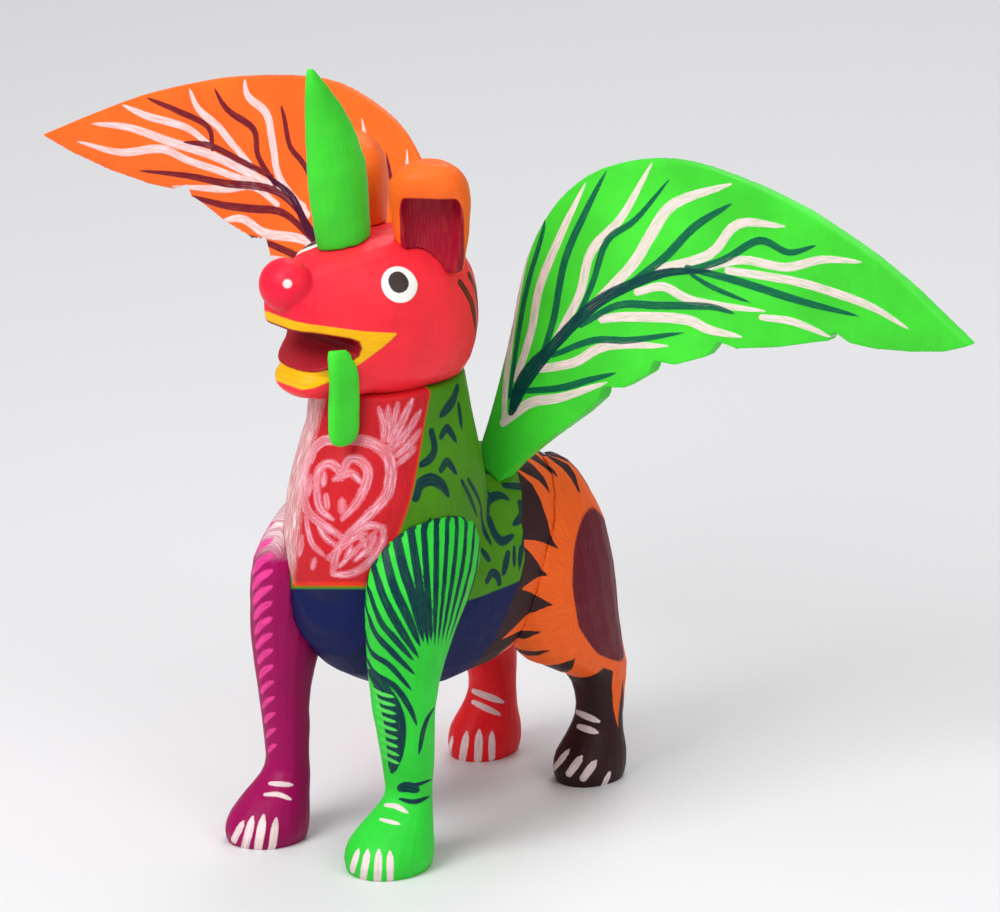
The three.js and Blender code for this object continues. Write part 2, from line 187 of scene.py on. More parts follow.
def move_along_normals(piece, amount):
    """Moves each vertex by its amount in millimetres, never below the ground or past the CAD box."""
    moved = (coordinates(piece) + normals(piece) * amount[:, None] + SHIFT) * MM
    low, high = (np.array(corner) for corner in cad_box)
    moved = np.clip(moved, low, high)
    piece.data.vertices.foreach_set("co", moved.ravel())
    piece.data.update()


def ripple(points, wavelength, seed):
    """Soft irregular waves from -1 to 1, a sum of sines in seeded random directions."""
    draw = np.random.default_rng(seed)
    total = np.zeros(len(points))
    waves = 7
    for _ in range(waves):
        direction = draw.normal(size=3)
        direction *= 2 * math.pi / (np.linalg.norm(direction) * wavelength * draw.uniform(0.7, 1.5))
        total += np.sin(points @ direction + draw.uniform(0, 2 * math.pi))
    return total / math.sqrt(waves * 2)


def head_frame(points):
    """The carver's millimetres to the head's own frame: forward, left and up."""
    local = points - NECK
    c = math.cos(HEAD_TURN)
    s = math.sin(HEAD_TURN)
    left = local[:, 0] * c + local[:, 1] * s
    back = -local[:, 0] * s + local[:, 1] * c
    return np.stack([-back, left, local[:, 2]], 1)


# ---- brush strokes ----
def curve(points, per_span=5):
    """A smooth line through given points."""
    p = np.asarray(points, float)
    ends = np.vstack([2 * p[0] - p[1], p, 2 * p[-1] - p[-2]])
    out = []
    for i in range(1, len(ends) - 2):
        a, b, c, d = ends[i - 1 : i + 3]
        for t in np.arange(per_span) / per_span:
            square = (2 * a - 5 * b + 4 * c - d) * t**2
            cube = (3 * b - 3 * c + d - a) * t**3
            out.append(0.5 * (2 * b + (c - a) * t + square + cube))
    out.append(p[-1])
    return np.array(out)


def swelling(count, width, start, end):
    """Half widths along a stroke that begins and ends at those shares of its full width."""
    t = np.linspace(0, 1, count)
    body = np.sin(math.pi * t) ** 0.6
    ends = start * (1 - t) + end * t
    return width / 2 * (body * (1 - ends) + ends)


class Layer:
    """One coat of one colour: for each vertex, the distance in millimetres to the nearest brush mark,
    negative inside it, and where across and along that mark the vertex lies."""

    def __init__(self, name, points):
        self.name = name
        self.points = points
        self.distance = np.full(len(points), FAR)
        self.flow = np.zeros((len(points), 3))

    def merge(self, distance, across=None, along=None, number=0.0):
        """Joins one more mark to the layer."""
        nearer = distance < self.distance
        self.distance[nearer] = distance[nearer]
        if across is not None:
            self.flow[nearer, 0] = across[nearer]
            self.flow[nearer, 1] = along[nearer]
            self.flow[nearer, 2] = number

    def line(self, line, half_widths, points=None):
        """A brush mark along a line, in as many dimensions as the points have."""
        points = self.points if points is None else points
        travelled = 0.0
        number = float(np.sum(line[0]))
        for a, b, wide_a, wide_b in zip(line[:-1], line[1:], half_widths[:-1], half_widths[1:]):
            span = b - a
            length = np.linalg.norm(span)
            if length < 1e-6:
                continue
            t = np.clip((points - a) @ span / length**2, 0, 1)
            away = points - a - t[:, None] * span
            reach = np.linalg.norm(away, axis=1)
            side = np.sign(away[:, 0] * span[1] - away[:, 1] * span[0]) if points.shape[1] == 2 else 1
            self.merge(reach - wide_a * (1 - t) - wide_b * t, reach * side, travelled + t * length, number)
            travelled += length

    def stroke(self, control, width, start=0.25, end=0.1, points=None):
        line = curve(control)
        self.line(line, swelling(len(line), width, start, end), points)


def polygon_distance(points, corners):
    """Signed distance in the plane to a closed outline, negative inside."""
    corners = np.asarray(corners, float)
    best = np.full(len(points), FAR)
    inside = np.zeros(len(points), bool)
    for a, b in zip(corners, np.roll(corners, -1, 0)):
        span = b - a
        t = np.clip((points - a) @ span / (span @ span), 0, 1)
        best = np.minimum(best, np.linalg.norm(points - a - t[:, None] * span, axis=1))
        crosses = (a[1] > points[:, 1]) != (b[1] > points[:, 1])
        rise = b[1] - a[1] if b[1] != a[1] else 1e-9
        at = a[0] + (points[:, 1] - a[1]) * span[0] / rise
        inside ^= crosses & (points[:, 0] < at)
    return np.where(inside, -best, best)


class Painter:
    """Paints one carving: keeps its layers in order and projects strokes onto its surface."""

    def __init__(self, piece):
        self.piece = piece
        self.points = coordinates(piece)
        self.layers = []
        self.tree = BVHTree.FromPolygons(
            [Vector(p) for p in self.points], [tuple(f.vertices) for f in piece.data.polygons]
        )

    def layer(self, name):
        new = Layer(name, self.points)
        self.layers.append(new)
        return new

    def project(self, flat, view=VIEW):
        """Points of a picture plane, right and up in millimetres, onto the surface facing that way."""
        right, up, out = view_axes(*view)
        landed = []
        for h, w in flat:
            origin = right * h + up * w + out * OUTSIDE
            hit = self.tree.ray_cast(Vector(origin), Vector(-out))[0]
            if hit is None:
                hit = self.nearest_to_ray(origin, out)
            landed.append(np.array(hit))
        return np.array(landed)

    def nearest_to_ray(self, origin, out):
        """The silhouette point nearest to a line of sight that just misses the carving."""
        away = self.points - origin
        away -= np.outer(away @ out, out)
        return self.points[np.argmin(np.linalg.norm(away, axis=1))]

    def stroke(self, layer, control, width, start=0.25, end=0.1, view=VIEW):
        """A brush stroke given in the picture plane of a view, laid on the surface."""
        flat = curve(control)
        layer.line(self.project(flat, view), swelling(len(flat), width, start, end))

    def snap(self, point):
        """The surface point nearest to a point."""
        return np.array(self.tree.find_nearest(Vector(point))[0])

    def finish(self, raised=0.1):
        """Stores the layers on the mesh and lifts the paint a hair above the coat below."""
        lift = np.zeros(len(self.points))
        for layer in self.layers:
            store(self.piece, layer.name, layer.distance)
            store_vector(self.piece, layer.name + "_flow", layer.flow)
            lift = np.maximum(lift, np.clip(0.5 - layer.distance / PAINT_EDGE, 0, 1))
        move_along_normals(self.piece, lift * raised)


def store(piece, name, values):
    attribute = piece.data.attributes.new(name, "FLOAT", "POINT")
    attribute.data.foreach_set("value", np.asarray(values, np.float32))


def store_vector(piece, name, values):
    attribute = piece.data.attributes.new(name, "FLOAT_VECTOR", "POINT")
    attribute.data.foreach_set("vector", np.asarray(values, np.float32).ravel())


# ---- materials ----
class Graph:
    """Short names for the shader nodes of one material."""

    def __init__(self, name):
        self.material = bpy.data.materials.new(name)
        self.material.use_nodes = True
        self.tree = self.material.node_tree
        self.shader = self.tree.nodes["Principled BSDF"]
        self.object = self.new("ShaderNodeTexCoord").outputs["Object"]

    def new(self, kind, **settings):
        node = self.tree.nodes.new(kind)
        for key, value in settings.items():
            setattr(node, key, value)
        return node

    def join(self, source, target):
        self.tree.links.new(source, target)

    def stretched(self, vector, scale):
        node = self.new("ShaderNodeMapping")
        node.inputs["Scale"].default_value = scale
        self.join(vector, node.inputs["Vector"])
        return node.outputs["Vector"]

    def noise(self, vector, scale, detail=3.0, roughness=0.5):
        node = self.new("ShaderNodeTexNoise")
        node.inputs["Scale"].default_value = scale
        node.inputs["Detail"].default_value = detail
        node.inputs["Roughness"].default_value = roughness
        self.join(vector, node.inputs["Vector"])
        return node.outputs["Fac"]

    def ramp(self, value, low, high, to_low=0.0, to_high=1.0):
        node = self.new("ShaderNodeMapRange")
        node.inputs["From Min"].default_value = low
        node.inputs["From Max"].default_value = high
        node.inputs["To Min"].default_value = to_low
        node.inputs["To Max"].default_value = to_high
        self.join(value, node.inputs["Value"])
        return node.outputs["Result"]

    def math(self, operation, a, b):
        node = self.new("ShaderNodeMath", operation=operation)
        for socket, value in zip(node.inputs, (a, b)):
            if isinstance(value, (int, float)):
                socket.default_value = value
            else:
                self.join(value, socket)
        return node.outputs[0]

    def mix(self, factor, a, b):
        node = self.new("ShaderNodeMix", data_type="RGBA")
        self.join(factor, node.inputs["Factor"])
        for socket, value in ((node.inputs["A"], a), (node.inputs["B"], b)):
            if isinstance(value, tuple):
                socket.default_value = value
            else:
                self.join(value, socket)
        return node.outputs["Result"]

    def attribute(self, name):
        return self.new("ShaderNodeAttribute", attribute_name=name).outputs

    def bump(self, height, strength, depth):
        """Fine relief from a height value, depth in millimetres."""
        node = self.new("ShaderNodeBump")
        node.inputs["Strength"].default_value = strength
        node.inputs["Distance"].default_value = depth * MM
        self.join(height, node.inputs["Height"])
        self.join(node.outputs["Normal"], self.shader.inputs["Normal"])


def shade(color, amount):
    """A colour made darker or lighter."""
    return (*(min(1.0, c * amount) for c in color[:3]), 1)


class Coat:
    """How one layer of paint looks: its colour, how dry the brush was, how soft its edge is."""

    def __init__(self, name, color, dry=0.0, soft=0.14, wobble=0.3):
        self.name = name
        self.color = color
        self.dry = dry
        self.soft = soft
        self.wobble = wobble


GRAIN = (1.0, 1.0, 0.12)  # base coat and wood grain run upwards, stretched by this much
DOWEL_GRAIN = (1.0, 1.0, 0.08)
HAIRS = (2.6, 0.16, 1.0)  # brush hairs for each millimetre across a stroke, and breaks along it


def painted_wood(name, base, coats=(), gloss=0.42):
    """Acrylic on carved wood: brushed base colour with faint wood grain, then each coat in turn."""
    g = Graph(name)
    cloud = g.noise(g.object, scale=42, detail=4)
    brush = g.noise(g.stretched(g.object, GRAIN), scale=900, detail=3, roughness=0.6)
    color = g.mix(g.ramp(cloud, 0.36, 0.66), shade(base, 0.86), shade(base, 1.08))
    color = g.mix(g.ramp(brush, 0.56, 0.8, 0.0, 0.22), color, shade(base, 0.66))
    ridge = g.ramp(brush, 0.3, 0.7)
    edge_noise = g.noise(g.object, scale=1500, detail=2)
    for coat in coats:
        outputs = g.attribute(coat.name)
        ragged = g.math("MULTIPLY", g.math("SUBTRACT", edge_noise, 0.5), coat.wobble)
        distance = g.math("ADD", outputs["Fac"], ragged)
        cover = g.ramp(distance, coat.soft, -coat.soft)
        hairs = g.stretched(g.attribute(coat.name + "_flow")["Vector"], HAIRS)
        streak = g.noise(hairs, scale=1, detail=3, roughness=0.6)
        if coat.dry:
            gap = g.ramp(streak, 0.36 + 0.2 * coat.dry, 0.5 + 0.2 * coat.dry, 1.0 - coat.dry, 1.0)
            cover = g.math("MULTIPLY", cover, gap)
        paint = g.mix(g.ramp(streak, 0.3, 0.72), shade(coat.color, 0.86), shade(coat.color, 1.12))
        color = g.mix(cover, color, paint)
        ridge = g.math("ADD", ridge, g.math("MULTIPLY", cover, g.ramp(streak, 0.25, 0.75, 0.4, 1.6)))
    g.join(color, g.shader.inputs["Base Color"])
    g.join(g.ramp(brush, 0.3, 0.75, gloss - 0.06, gloss + 0.12), g.shader.inputs["Roughness"])
    g.bump(ridge, strength=0.35, depth=0.12)
    g.shader.inputs["Specular IOR Level"].default_value = 0.16
    return g.material


def place(piece, node, body, material):
    """Gives a piece its paint and puts it in its CAD node's place."""
    piece.data.materials.append(material)
    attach(piece, body)
    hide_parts(node)


# ---- wings ----
# Every mark is (points, width) on the left wing, points as x and z in millimetres.
LEFT_WING_DARK = [
    ([(76, 186), (95, 184), (116, 181), (138, 180)], 2.4),
    ([(18, 136), (19, 154), (20, 170), (23, 187), (23, 193)], 1.8),
    ([(29, 151), (32, 164), (33, 182), (38, 198), (43, 211)], 2.4),
    ([(40, 164), (44, 176), (47, 190), (56, 198), (66, 212)], 2.1),
    ([(58, 179), (68, 188), (77, 199), (89, 208)], 2.6),
    ([(76, 185), (88, 190), (100, 198), (111, 196), (121, 200)], 2.3),
    ([(78, 184), (86, 181), (99, 178)], 1.5),
    ([(42, 163), (54, 171), (68, 173), (85, 175), (94, 174)], 2.3),
    ([(33, 152), (47, 159), (60, 161), (78, 166)], 2.1),
    ([(19, 138), (36, 142), (46, 146), (56, 150)], 2.1),
]
LEFT_WING_VEIN = [
    ([(19, 131), (22, 142), (32, 154), (42, 166), (51, 174), (68, 183), (84, 186)], 3.9),
    ([(19.5, 131.5), (22, 140), (27, 148), (36, 158)], 5.4),
]
LEFT_WING_LIGHT = [
    ([(17, 127.5), (16, 137), (16, 150), (16.5, 166), (18, 180), (22, 194)], 2.1),
    ([(20, 142), (24, 158), (25, 172), (30, 189), (36, 206)], 2.6),
    ([(34, 158), (40, 172), (42, 186), (51, 198), (59, 216)], 2.7),
    ([(45, 169), (57, 184), (62, 194), (69, 205), (88, 214)], 3.3),
    ([(66, 184), (83, 191), (92, 202), (109, 204)], 2.7),
    ([(83, 187), (95, 191), (110, 191), (124, 196), (139, 198)], 2.4),
    ([(90, 187), (113, 187), (128, 186), (144, 184), (158, 180)], 2.5),
    ([(60, 176), (69, 179), (80, 176), (104, 176)], 2.4),
    ([(49, 166), (58, 168), (77, 170), (86, 168), (97, 167)], 2.7),
    ([(103, 174), (114, 174), (127, 171)], 2.0),
    ([(29, 147), (41, 151), (52, 158), (73, 161)], 2.6),
    ([(16.5, 127.5), (21, 131.5), (27, 136), (38, 139.5), (53, 146.5)], 2.7),
]
RIGHT_WING_DARK = [
    ([(90, 184), (106, 186), (118, 188), (129, 187)], 2.1),
    ([(117, 187), (119, 194), (132, 197), (144, 199)], 2.0),
    ([(88, 182), (97, 189), (100, 197), (111, 201), (117, 207)], 2.3),
    ([(60, 170), (74, 189), (83, 195), (87, 203), (89, 207)], 2.0),
    ([(44, 162), (52, 180), (56, 194), (64, 208)], 2.2),
    ([(27, 148), (31, 166), (34, 184), (42, 202)], 2.2),
    ([(18, 134), (20, 154), (21, 176), (24, 190)], 1.9),
    ([(66, 170), (80, 178), (92, 180), (112, 177), (128, 176), (147, 174)], 2.3),
    ([(66, 168), (82, 174), (98, 172), (112, 170), (130, 169)], 2.4),
    ([(44, 156), (60, 160), (80, 163), (104, 163)], 2.3),
    ([(20, 138), (36, 144), (54, 151), (70, 156)], 2.2),
]
RIGHT_WING_VEIN = [
    ([(19, 131), (26, 145), (42, 158), (60, 166), (71, 172), (80, 180), (93, 184)], 3.6),
    ([(19.5, 131.5), (22, 140), (28, 148), (38, 157)], 5.0),
]
RIGHT_WING_LIGHT = [
    ([(12, 122), (14, 138), (16, 158), (18, 180), (23, 196)], 2.1),
    ([(22, 146), (25, 162), (27, 178), (34, 204)], 2.4),
    ([(34, 156), (42, 176), (46, 192), (54, 210)], 2.5),
    ([(54, 168), (66, 182), (70, 196), (78, 211)], 2.5),
    ([(72, 176), (86, 184), (91, 194), (95, 203), (103, 207), (105, 212)], 2.7),
    ([(98, 184), (108, 190), (115, 195), (123, 199), (127, 205)], 2.4),
    ([(118, 188), (128, 192), (143, 193), (153, 195)], 2.2),
    ([(74, 178), (95, 182), (118, 185), (134, 186), (150, 188), (164, 187)], 2.6),
    ([(98, 180), (125, 181), (138, 183), (154, 179), (170, 180)], 2.3),
    ([(86, 176), (98, 179), (112, 175), (134, 171)], 2.1),
    ([(54, 164), (72, 168), (90, 166), (101, 168), (111, 165)], 2.5),
    ([(30, 149), (50, 155), (68, 160), (90, 159)], 2.4),
    ([(12, 123), (20, 130), (34, 138), (52, 146)], 2.5),
]


# Layer, how much wider than listed its strokes are, how blunt they begin, how dry the brush is.
WING_LAYERS = (("light", 1.18, 0.8, 0.3), ("dark", 1.1, 0.7, 0.15), ("vein", 1.0, 0.4, 0.1))


def wing(node, body, side, base, strokes, colors):
    """One wing. strokes and colors are for the light branches, the dark branches and the vein."""
    piece = carving(node, voxel=0.45, swell=0.05, smooth=5, thicken=0.4)
    points = coordinates(piece)
    move_along_normals(piece, 0.16 * ripple(points, wavelength=22, seed=3))
    painter = Painter(piece)
    flat = painter.points[:, [0, 2]] * np.array([side, 1])
    coats = []
    for (name, wider, start, dry), marks, color in zip(WING_LAYERS, strokes, colors):
        layer = painter.layer(name)
        for control, width in marks:
            layer.stroke(control, width * wider, start, end=0.15, points=flat)
        coats.append(Coat(name, color, dry=dry))
    painter.finish()
    place(piece, node, body, painted_wood(node + "_paint", base, coats))


# ---- plain carvings ----
def plain(node, voxel, base, wave=0.12):
    """A carving in one colour with no pattern."""
    piece = carving(node, voxel, swell=0.05, smooth=5)
    move_along_normals(piece, wave * ripple(coordinates(piece), wavelength=9, seed=len(node)))
    place(piece, node, "figure", painted_wood(node + "_paint", base))


def bare_dowel(node):
    """A dowel keeps its CAD shape and gets bare wood."""
    g = Graph(node + "_wood")
    rings = g.noise(g.stretched(g.object, DOWEL_GRAIN), scale=1400, detail=4, roughness=0.65)
    color = g.mix(g.ramp(rings, 0.35, 0.7), shade(BARE_WOOD, 0.7), shade(BARE_WOOD, 1.1))
    g.join(color, g.shader.inputs["Base Color"])
    g.join(g.ramp(rings, 0.3, 0.7, 0.6, 0.8), g.shader.inputs["Roughness"])
    g.bump(rings, strength=0.3, depth=0.1)
    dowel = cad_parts[node]
    dowel.data.materials.clear()
    dowel.data.materials.append(g.material)


# ---- head ----
EYES = ((12.6, 20, 187), (24, -9, 195))  # forward, left and up in the head's frame
EYE_WHITE = 6.3
EYE_PUPIL = 3.5
PUPIL_OFFSET = (0.4, 0, 0.9)  # from the middle of the white
EYE_BULGE = (6.5, 0.5)  # radius and height
SNOUT = ((44, 0, 187), 12)  # middle and radius of the darker patch round the nose
NOSTRILS = ((46.5, 6.2, 191), (46.5, -6.2, 191))
NOSTRIL_RADIUS = 1.4
# Dark strokes down the back of the head: degrees from straight back, at the top and the bottom.
MANE = ((62, 39), (46, 28), (30, 18), (12, 7), (-8, -4), (-26, -15), (-44, -27), (-60, -38))
MANE_HEIGHTS = (184, 173, 159)
MANE_RADIUS = 27
# The mouth's wedge and the yellow lips, seen from the side, as forward and up.
MOUTH_WEDGE = [
    (26.4, 168.4), (27.2, 170.9), (29.5, 172.0), (40, 174.8), (60, 177.4),
    (60, 154.6), (42, 159.2), (29, 164.2), (27, 166),
]
LIPS = [
    (15.6, 172.6), (27, 174.4), (38, 177), (47, 179.2), (56, 180.6),
    (56, 150), (46, 152.6), (33, 158.4), (27, 162.6),
]


def head_point(forward, left, up):
    c = math.cos(HEAD_TURN)
    s = math.sin(HEAD_TURN)
    return NECK + np.array([left * c + forward * s, left * s - forward * c, up])


def head():
    """The red head with yellow lips, a dark red mouth (its own red partly darkened as painted shade, its
    upward-facing floor painted lighter as painted light), eyes and the strokes of a mane.
    """
    piece = carving("head", voxel=0.5, swell=0.1, smooth=7)
    local = head_frame(coordinates(piece))
    radius, height = EYE_BULGE
    bulge = sum(np.exp(-(np.linalg.norm(local - eye, axis=1) / radius) ** 4) for eye in EYES)
    move_along_normals(piece, height * bulge + 0.14 * ripple(local, wavelength=12, seed=5))
    painter = Painter(piece)
    local = head_frame(painter.points)
    side = local[:, [0, 2]]
    snout = painter.layer("snout")
    middle, radius = SNOUT
    snout.merge(np.linalg.norm((local - middle) / [1, 1, 1.1], axis=1) - radius)
    lips = painter.layer("lips")
    lips.merge(polygon_distance(side, LIPS), local[:, 2], local[:, 0])
    # The mouth's inside gets a dark red that is partly its own colour and partly painted shade.
    inside = painter.layer("mouth")
    inside.merge(polygon_distance(side, MOUTH_WEDGE) - 0.25)
    # Painted light: inside the mouth, surfaces that face upwards get a lighter red, as if lit from above.
    floor = painter.layer("lit_mouth_floor")
    up = normals(piece)[:, 2]
    floor.merge(np.maximum(inside.distance, (0.5 - up) * 3))
    eyes = painter.layer("eye_white")
    pupils = painter.layer("pupil")
    nostrils = painter.layer("nostril")
    for eye in EYES:
        away = painter.points - painter.snap(head_point(*eye))
        eyes.merge(np.linalg.norm(away * [1, 1, 1.08], axis=1) - EYE_WHITE)
        away = painter.points - painter.snap(head_point(*np.add(eye, PUPIL_OFFSET)))
        pupils.merge(np.linalg.norm(away, axis=1) - EYE_PUPIL, away[:, 0], away[:, 2])
    for nostril in NOSTRILS:
        away = painter.points - painter.snap(head_point(*nostril))
        nostrils.merge(np.linalg.norm(away, axis=1) - NOSTRIL_RADIUS)
    mane = painter.layer("mane")
    for top, low in MANE:
        marks = []
        for angle, height in zip((top, (top + low) / 2, low), MANE_HEIGHTS):
            a = math.radians(angle)
            back = head_point(-MANE_RADIUS * math.cos(a), MANE_RADIUS * math.sin(a), height)
            marks.append(painter.snap(back))
        mane.stroke(marks, width=3.0, start=0.9, end=0.05)
    painter.finish()
    coats = [
        Coat("snout", SNOUT_RED, soft=5, wobble=2.5),
        Coat("mane", MANE_BROWN, dry=0.2),
        Coat("lips", YELLOW, dry=0.1),
        # the mouth's dark red is partly painted shade
        Coat("mouth", SHADED_MOUTH_RED, soft=0.25),
        # painted light on the mouth's upward-facing floor
        Coat("lit_mouth_floor", LIT_MOUTH_FLOOR_RED, soft=0.4),
        Coat("eye_white", WHITE, wobble=0.2),
        Coat("pupil", PUPIL, wobble=0.4),
        Coat("nostril", NOSTRIL_PINK, soft=0.3),
    ]
    place(piece, "head", "figure", painted_wood("head_paint", RED, coats, gloss=0.36))


# ---- ears ----
EAR = {"left": 16, "forward": -4, "turn": 42}  # foot of the left ear and which way it opens
EAR_CUP = {"across": 0.9, "out": 9.6, "up": 197.5, "half": (10.1, 10.4, 17)}


def ear(node, sign):
    """An orange ear, sign 1 for the left one, with wine paint in its cup."""
    piece = carving(node, voxel=0.5, swell=0.05, smooth=4)
    move_along_normals(piece, 0.12 * ripple(coordinates(piece), wavelength=8, seed=11))
    painter = Painter(piece)
    local = head_frame(painter.points)
    turn = math.radians(EAR["turn"])
    forward = local[:, 0] - EAR["forward"]
    left = local[:, 1] * sign - EAR["left"]
    out = forward * math.cos(turn) + left * math.sin(turn)
    across = left * math.cos(turn) - forward * math.sin(turn)
    cup = np.stack([across - EAR_CUP["across"], out - EAR_CUP["out"], local[:, 2] - EAR_CUP["up"]], 1)
    half = np.array(EAR_CUP["half"])
    hollow = painter.layer("hollow")
    hollow.merge((np.sum((cup / half) ** 6, axis=1) ** (1 / 6) - 1) * half[0], across, local[:, 2])
    painter.finish(raised=0)
    coats = [Coat("hollow", WINE, dry=0.15, soft=0.2)]
    place(piece, node, "figure", painted_wood(node + "_paint", ORANGE, coats))


# ---- trunk ----
# Marks as (points, width), right and up in millimetres as the main view sees them.
FLANK_MARKS = [
    ([(7.5, 132.5), (6, 128.5), (2, 123.5)], 3.2),
    ([(8, 127.5), (9, 119.5)], 1.8),
    ([(-0.5, 119), (0.5, 113.5), (-1.5, 110), (-5.5, 108)], 2.4),
    ([(2.5, 117.5), (4.5, 120), (7.5, 115.5)], 2.2),
    ([(2.5, 107), (4.5, 109.5), (7.5, 105.5)], 2.2),
    ([(-5.5, 98.5), (-4, 102.5), (-0.5, 104), (3, 102), (5, 98.5)], 3.2),
    ([(9, 103.5), (11.5, 98.5), (14, 92)], 1.4),
    ([(11, 104), (14, 98.5), (15.5, 93.5)], 1.4),
    ([(17, 93.5), (17.5, 97.5), (21, 99), (24, 97.5)], 2.4),
    ([(27.5, 96.5), (28, 92.5), (25, 89.5)], 2.4),
    ([(17.5, 91.5), (19.5, 86.5), (22, 84.5), (25.5, 86.5)], 2.6),
    ([(15, 93.5), (16, 88), (18.5, 83)], 1.6),
    ([(15.5, 81.5), (18, 78)], 1.8),
    ([(23.5, 80.5), (22, 73.5)], 2.4),
    ([(25.5, 82.5), (25.5, 76)], 1.4),
    ([(27.5, 82.5), (27, 76)], 1.4),
    ([(17, 72), (18.5, 74.5), (20.5, 73), (21, 68.5)], 2.2),
    ([(22.5, 102), (30.5, 101.5)], 2.2),
    ([(31, 97.5), (29, 88), (27, 74.5)], 1.6),
]
CHEST_HEART = [
    ([(-27.5, 116.5), (-21, 116), (-16, 113.5), (-13.5, 109.5), (-13.5, 103), (-16, 97), (-28, 85.5)], 3.2),
    ([(-28, 116), (-34.5, 116), (-38.5, 111.5), (-40.5, 105.5), (-40.5, 98), (-38, 92.5), (-28, 85.5)], 3.2),
    ([(-28.5, 105.5), (-26.5, 110), (-23, 110), (-20.5, 107), (-21, 102.5), (-24, 96.5), (-28.5, 91.5)], 2.4),
    ([(-28.5, 104.5), (-30, 107.5), (-33, 109), (-36, 106.5), (-36.5, 101), (-35.5, 95), (-31.5, 91.5)], 2.4),
    ([(-28.5, 97.5), (-28.5, 93.5)], 2.2),
    ([(-31.5, 74.5), (-30, 81.5), (-25.5, 86.5), (-20.5, 89.5), (-15.5, 89)], 2.2),
    ([(-15.5, 89), (-16, 84), (-20, 78), (-25.5, 74.5), (-31.5, 74)], 2.2),
    ([(-29.5, 76.5), (-23, 83), (-17.5, 88)], 1.4),
    ([(-27.5, 78.5), (-25.5, 83)], 1.4),
    ([(-24.5, 78.5), (-20, 82.5)], 1.4),
    ([(-22.5, 86), (-21, 82.5)], 1.2),
    ([(-15.5, 116.5), (-15.5, 121.5), (-17, 126.5)], 1.8),
    ([(-13, 118), (-14, 123), (-14, 127)], 1.4),
    ([(-14, 116), (-12.5, 121.5), (-11, 128)], 2.0),
    ([(-13.5, 114.5), (-10, 121.5), (-6.5, 129)], 2.2),
    ([(-12.5, 113.5), (-8, 119), (-4, 125.5)], 2.2),
    ([(-11.5, 111.5), (-7.5, 115), (-4, 119.5)], 2.0),
    ([(-11, 109), (-8, 111.5), (-5.5, 114)], 1.6),
]
CHEST_DASHES = [
    ([(-37, 113), (-38.5, 109)], 2.0),
    ([(-38.5, 105), (-39, 99)], 1.8),
    ([(-34, 106), (-34.5, 102)], 1.8),
    ([(-33.5, 99), (-33, 95)], 1.8),
    ([(-31, 104), (-26, 106), (-22.5, 103)], 2.0),
    ([(-36, 90), (-34, 86), (-30, 83)], 1.8),
    ([(-40, 92), (-38, 84), (-34, 80)], 1.8),
    ([(-33, 79), (-26, 85), (-21, 87)], 1.8),
    ([(-37, 79), (-38, 76)], 1.8),
    ([(-41, 86), (-42, 80)], 1.8),
    ([(-18, 86), (-21, 80)], 1.6),
]
TRUNK_MIDDLE_Y = -22  # the oval round which the panel's sides are measured
TRUNK_HALF = (24, 32)
CHEST_FOOT = 70.4  # the chest panel's lower edge, as the main view sees it
BELLY_DROP = 0.8  # the navy begins this far below the panel
WATERLINE = 79  # top of the navy belly on the flanks
BREAST = (-25, 20)  # y where the belly's edge leaves the waterline, and how far on it meets the panel
RIM_WIDTH = (0.6, 1.4)  # of the bright rim round the panel, at its sides and at its foot
PANEL_EDGE = ((88, 107, 120, 150), (28, 49, 58, 75))  # heights, and its sides in degrees from the front
CHEST_MM_PER_DEGREE = math.radians(1) * 28
HAIRS_PER_DEGREE = 0.4  # millimetres across the panel's brush hairs
MARKS_FOOT = 80  # no dark marks below this height
# The inner edge of the pale band down the panel's right side: heights, then places across the main view.
BAND_EDGE = ((74, 84, 99, 116, 130), (-44, -42.5, -41, -37.5, -34))
# The dark marks are repeated round the body: azimuth they are seen from, mirror, shift to the right.
MARK_VIEWS = ((VIEW[0], 1, 0), (-VIEW[0], -1, 0), (150, 1, -8), (210, -1, 8))
MARK_WIDER = 1.3
HEART_WIDER = 1.25
HAUNCH_INSIDE = 6  # the haunch paint on the trunk stops this far from its middle


